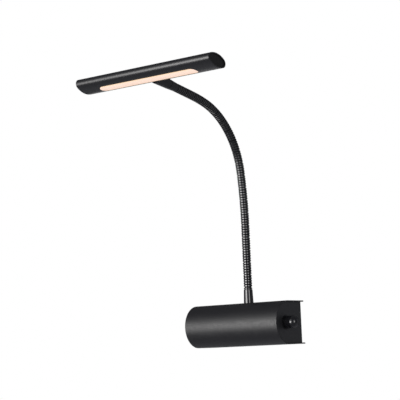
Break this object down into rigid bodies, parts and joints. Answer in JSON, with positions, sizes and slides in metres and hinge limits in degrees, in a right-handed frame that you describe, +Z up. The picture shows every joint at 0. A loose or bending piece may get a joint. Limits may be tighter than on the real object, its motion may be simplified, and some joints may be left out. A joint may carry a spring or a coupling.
{
  "type": "wall lamp",
  "caption": "Black wall lamp with a half-round base, a dimmer knob on its end, a ribbed gooseneck arm and a slim oval light bar with a glowing slot underneath.",
  "frame": {"origin": "middle of the wall bracket's back face, on the wall", "axes": "X along the base, -Y out from the wall to the front, Z up"},
  "size_m": [0.2, 0.2136, 0.3264],
  "materials": {
    "bracket_steel": "zinc-plated sheet",
    "screw_steel": "zinc-plated, turned",
    "shell_paint": "satin black powder coat",
    "grub_screw": "black oxide",
    "plate_paint": "matt black powder coat",
    "grommet_rubber": "matt black rubber",
    "case_plastic": "white moulded plastic",
    "brass": "plain brass",
    "earth_insulation": "green and yellow insulation",
    "lead_insulation": "coloured insulation",
    "cable_sheath": "black cable sheath",
    "dimmer_plastic": "black moulded plastic",
    "knob_plastic": "gloss black",
    "collar_paint": "semi-gloss black",
    "hose_black": "semi-gloss black ribbed steel hose",
    "head_paint": "satin black on extruded aluminium",
    "cap_plastic": "matt black moulded plastic",
    "aluminium": "mill finish",
    "led_board": "white board with LED packages",
    "opal": "opal diffuser, lit warm white"
  },
  "bodies": {
    "base": {"wall_bracket": "bracket_steel", "cable_grommet": "grommet_rubber", "base_shell": "shell_paint", "shell_screws": "grub_screw", "end_plate_left": "plate_paint", "end_plate_right": "plate_paint", "chassis": "bracket_steel", "led_driver": "case_plastic", "driver_screws": "screw_steel", "terminal_block": "case_plastic", "terminal_screws": "brass", "terminal_fixing_screw": "screw_steel", "earth_screw": "brass", "earth_lead": "earth_insulation", "mains_leads": "lead_insulation", "dimmer_leads": "lead_insulation", "dimmer_body": "dimmer_plastic", "knob_bezel": "knob_plastic", "dimmer_nut": "screw_steel", "neck_nipple": "screw_steel", "neck_washer": "screw_steel", "neck_nut": "screw_steel", "neck_collar": "collar_paint", "neck_cable": "cable_sheath", "gooseneck_01": "hose_black"},
    "knob": {"dimmer_shaft": "screw_steel", "knob": "knob_plastic"},
    "neck_02": {"gooseneck_02": "hose_black"},
    "neck_03": {"gooseneck_03": "hose_black"},
    "neck_04": {"gooseneck_04": "hose_black"},
    "neck_05": {"gooseneck_05": "hose_black"},
    "neck_06": {"gooseneck_06": "hose_black"},
    "neck_07": {"gooseneck_07": "hose_black"},
    "neck_08": {"gooseneck_08": "hose_black"},
    "neck_09": {"gooseneck_09": "hose_black"},
    "neck_10": {"gooseneck_10": "hose_black"},
    "neck_11": {"gooseneck_11": "hose_black"},
    "neck_12": {"gooseneck_12": "hose_black"},
    "neck_13": {"gooseneck_13": "hose_black"},
    "neck_14": {"gooseneck_14": "hose_black"},
    "neck_15": {"gooseneck_15": "hose_black"},
    "neck_16": {"gooseneck_16": "hose_black"},
    "neck_17": {"gooseneck_17": "hose_black"},
    "neck_18": {"gooseneck_18": "hose_black"},
    "head": {"gooseneck_19": "hose_black", "gooseneck_20": "hose_black", "end_sleeve": "collar_paint", "head_stub": "collar_paint", "head_nut": "screw_steel", "head_shell": "head_paint", "head_cap_left": "cap_plastic", "head_cap_right": "cap_plastic", "led_carrier": "aluminium", "led_board": "led_board", "led_chips": "led_board", "diffuser": "opal"}
  },
  "joints": [
    {"name": "knob_turn", "type": "hinge", "parent": "base", "child": "knob", "pos_m": [0.0675, -0.0375, 0], "axis": [1, 0, 0], "range_deg": [-200, 70]},
    {"name": "arm_side_bend", "type": "hinge", "parent": "base", "child": "neck_02", "pos_m": [0, -0.0183, 0.06143], "axis": [0, -1, 0], "range_deg": [-8, 8], "deforming": ["neck_cable"]},
    {"name": "arm_lower_bend", "type": "hinge", "parent": "neck_02", "child": "neck_03", "pos_m": [0, -0.0183, 0.07703], "axis": [1, 0, 0], "range_deg": [-1, 12], "deforming": ["neck_cable"]},
    {"name": "side_bend_03", "type": "hinge", "parent": "neck_03", "child": "neck_04", "pos_m": [0, -0.0183, 0.09263], "axis": [0, -1, 0], "range_deg": [-8, 8]},
    {"name": "lower_bend_04", "type": "hinge", "parent": "neck_04", "child": "neck_05", "pos_m": [0, -0.0183, 0.10823], "axis": [1, 0, 0], "range_deg": [-1, 12]},
    {"name": "side_bend_05", "type": "hinge", "parent": "neck_05", "child": "neck_06", "pos_m": [0, -0.01831, 0.12383], "axis": [0, -1, -0.0073], "range_deg": [-8, 8]},
    {"name": "lower_bend_06", "type": "hinge", "parent": "neck_06", "child": "neck_07", "pos_m": [0, -0.01867, 0.13942], "axis": [1, 0, 0], "range_deg": [-1, 12]},
    {"name": "upper_bend_07", "type": "hinge", "parent": "neck_07", "child": "neck_08", "pos_m": [0, -0.01951, 0.155], "axis": [1, 0, 0], "range_deg": [-3.75, 2.4]},
    {"name": "side_bend_08", "type": "hinge", "parent": "neck_08", "child": "neck_09", "pos_m": [0, -0.02084, 0.17054], "axis": [0, -0.9949, -0.1005], "range_deg": [-8, 8]},
    {"name": "upper_bend_09", "type": "hinge", "parent": "neck_09", "child": "neck_10", "pos_m": [0, -0.02265, 0.18604], "axis": [1, 0, 0], "range_deg": [-7.5, 4.8]},
    {"name": "arm_upper_bend", "type": "hinge", "parent": "neck_10", "child": "neck_11", "pos_m": [0, -0.02548, 0.20136], "axis": [1, 0, 0], "range_deg": [-12.5, 8], "deforming": ["neck_cable"]},
    {"name": "side_bend_11", "type": "hinge", "parent": "neck_11", "child": "neck_12", "pos_m": [0, -0.03064, 0.21607], "axis": [0, -0.9147, -0.404], "range_deg": [-8, 8]},
    {"name": "upper_bend_12", "type": "hinge", "parent": "neck_12", "child": "neck_13", "pos_m": [0, -0.03804, 0.22979], "axis": [1, 0, 0], "range_deg": [-12.5, 8]},
    {"name": "upper_bend_13", "type": "hinge", "parent": "neck_13", "child": "neck_14", "pos_m": [0, -0.0475, 0.24216], "axis": [1, 0, 0], "range_deg": [-12.5, 8]},
    {"name": "side_bend_14", "type": "hinge", "parent": "neck_14", "child": "neck_15", "pos_m": [0, -0.0588, 0.2529], "axis": [0, -0.6294, -0.7771], "range_deg": [-8, 8]},
    {"name": "upper_bend_15", "type": "hinge", "parent": "neck_15", "child": "neck_16", "pos_m": [0, -0.07165, 0.26172], "axis": [1, 0, 0], "range_deg": [-12.5, 8]},
    {"name": "upper_bend_16", "type": "hinge", "parent": "neck_16", "child": "neck_17", "pos_m": [0, -0.08572, 0.26841], "axis": [1, 0, 0], "range_deg": [-10, 6.4]},
    {"name": "side_bend_17", "type": "hinge", "parent": "neck_17", "child": "neck_18", "pos_m": [0, -0.10062, 0.27302], "axis": [0, -0.2536, -0.9673], "range_deg": [-8, 8]},
    {"name": "upper_bend_18", "type": "hinge", "parent": "neck_18", "child": "head", "pos_m": [0, -0.11584, 0.27644], "axis": [1, 0, 0], "range_deg": [-3.75, 2.4]}
  ],
  "couplings": [
    {"joint": "side_bend_03", "follows": "arm_side_bend", "ratio": 1},
    {"joint": "lower_bend_04", "follows": "arm_lower_bend", "ratio": 1},
    {"joint": "side_bend_05", "follows": "arm_side_bend", "ratio": 1},
    {"joint": "lower_bend_06", "follows": "arm_lower_bend", "ratio": 1},
    {"joint": "upper_bend_07", "follows": "arm_upper_bend", "ratio": 0.3},
    {"joint": "side_bend_08", "follows": "arm_side_bend", "ratio": 1},
    {"joint": "upper_bend_09", "follows": "arm_upper_bend", "ratio": 0.6},
    {"joint": "side_bend_11", "follows": "arm_side_bend", "ratio": 1},
    {"joint": "upper_bend_12", "follows": "arm_upper_bend", "ratio": 1},
    {"joint": "upper_bend_13", "follows": "arm_upper_bend", "ratio": 1},
    {"joint": "side_bend_14", "follows": "arm_side_bend", "ratio": 1},
    {"joint": "upper_bend_15", "follows": "arm_upper_bend", "ratio": 1},
    {"joint": "upper_bend_16", "follows": "arm_upper_bend", "ratio": 0.8},
    {"joint": "side_bend_17", "follows": "arm_side_bend", "ratio": 1},
    {"joint": "upper_bend_18", "follows": "arm_upper_bend", "ratio": 0.3}
  ]
}
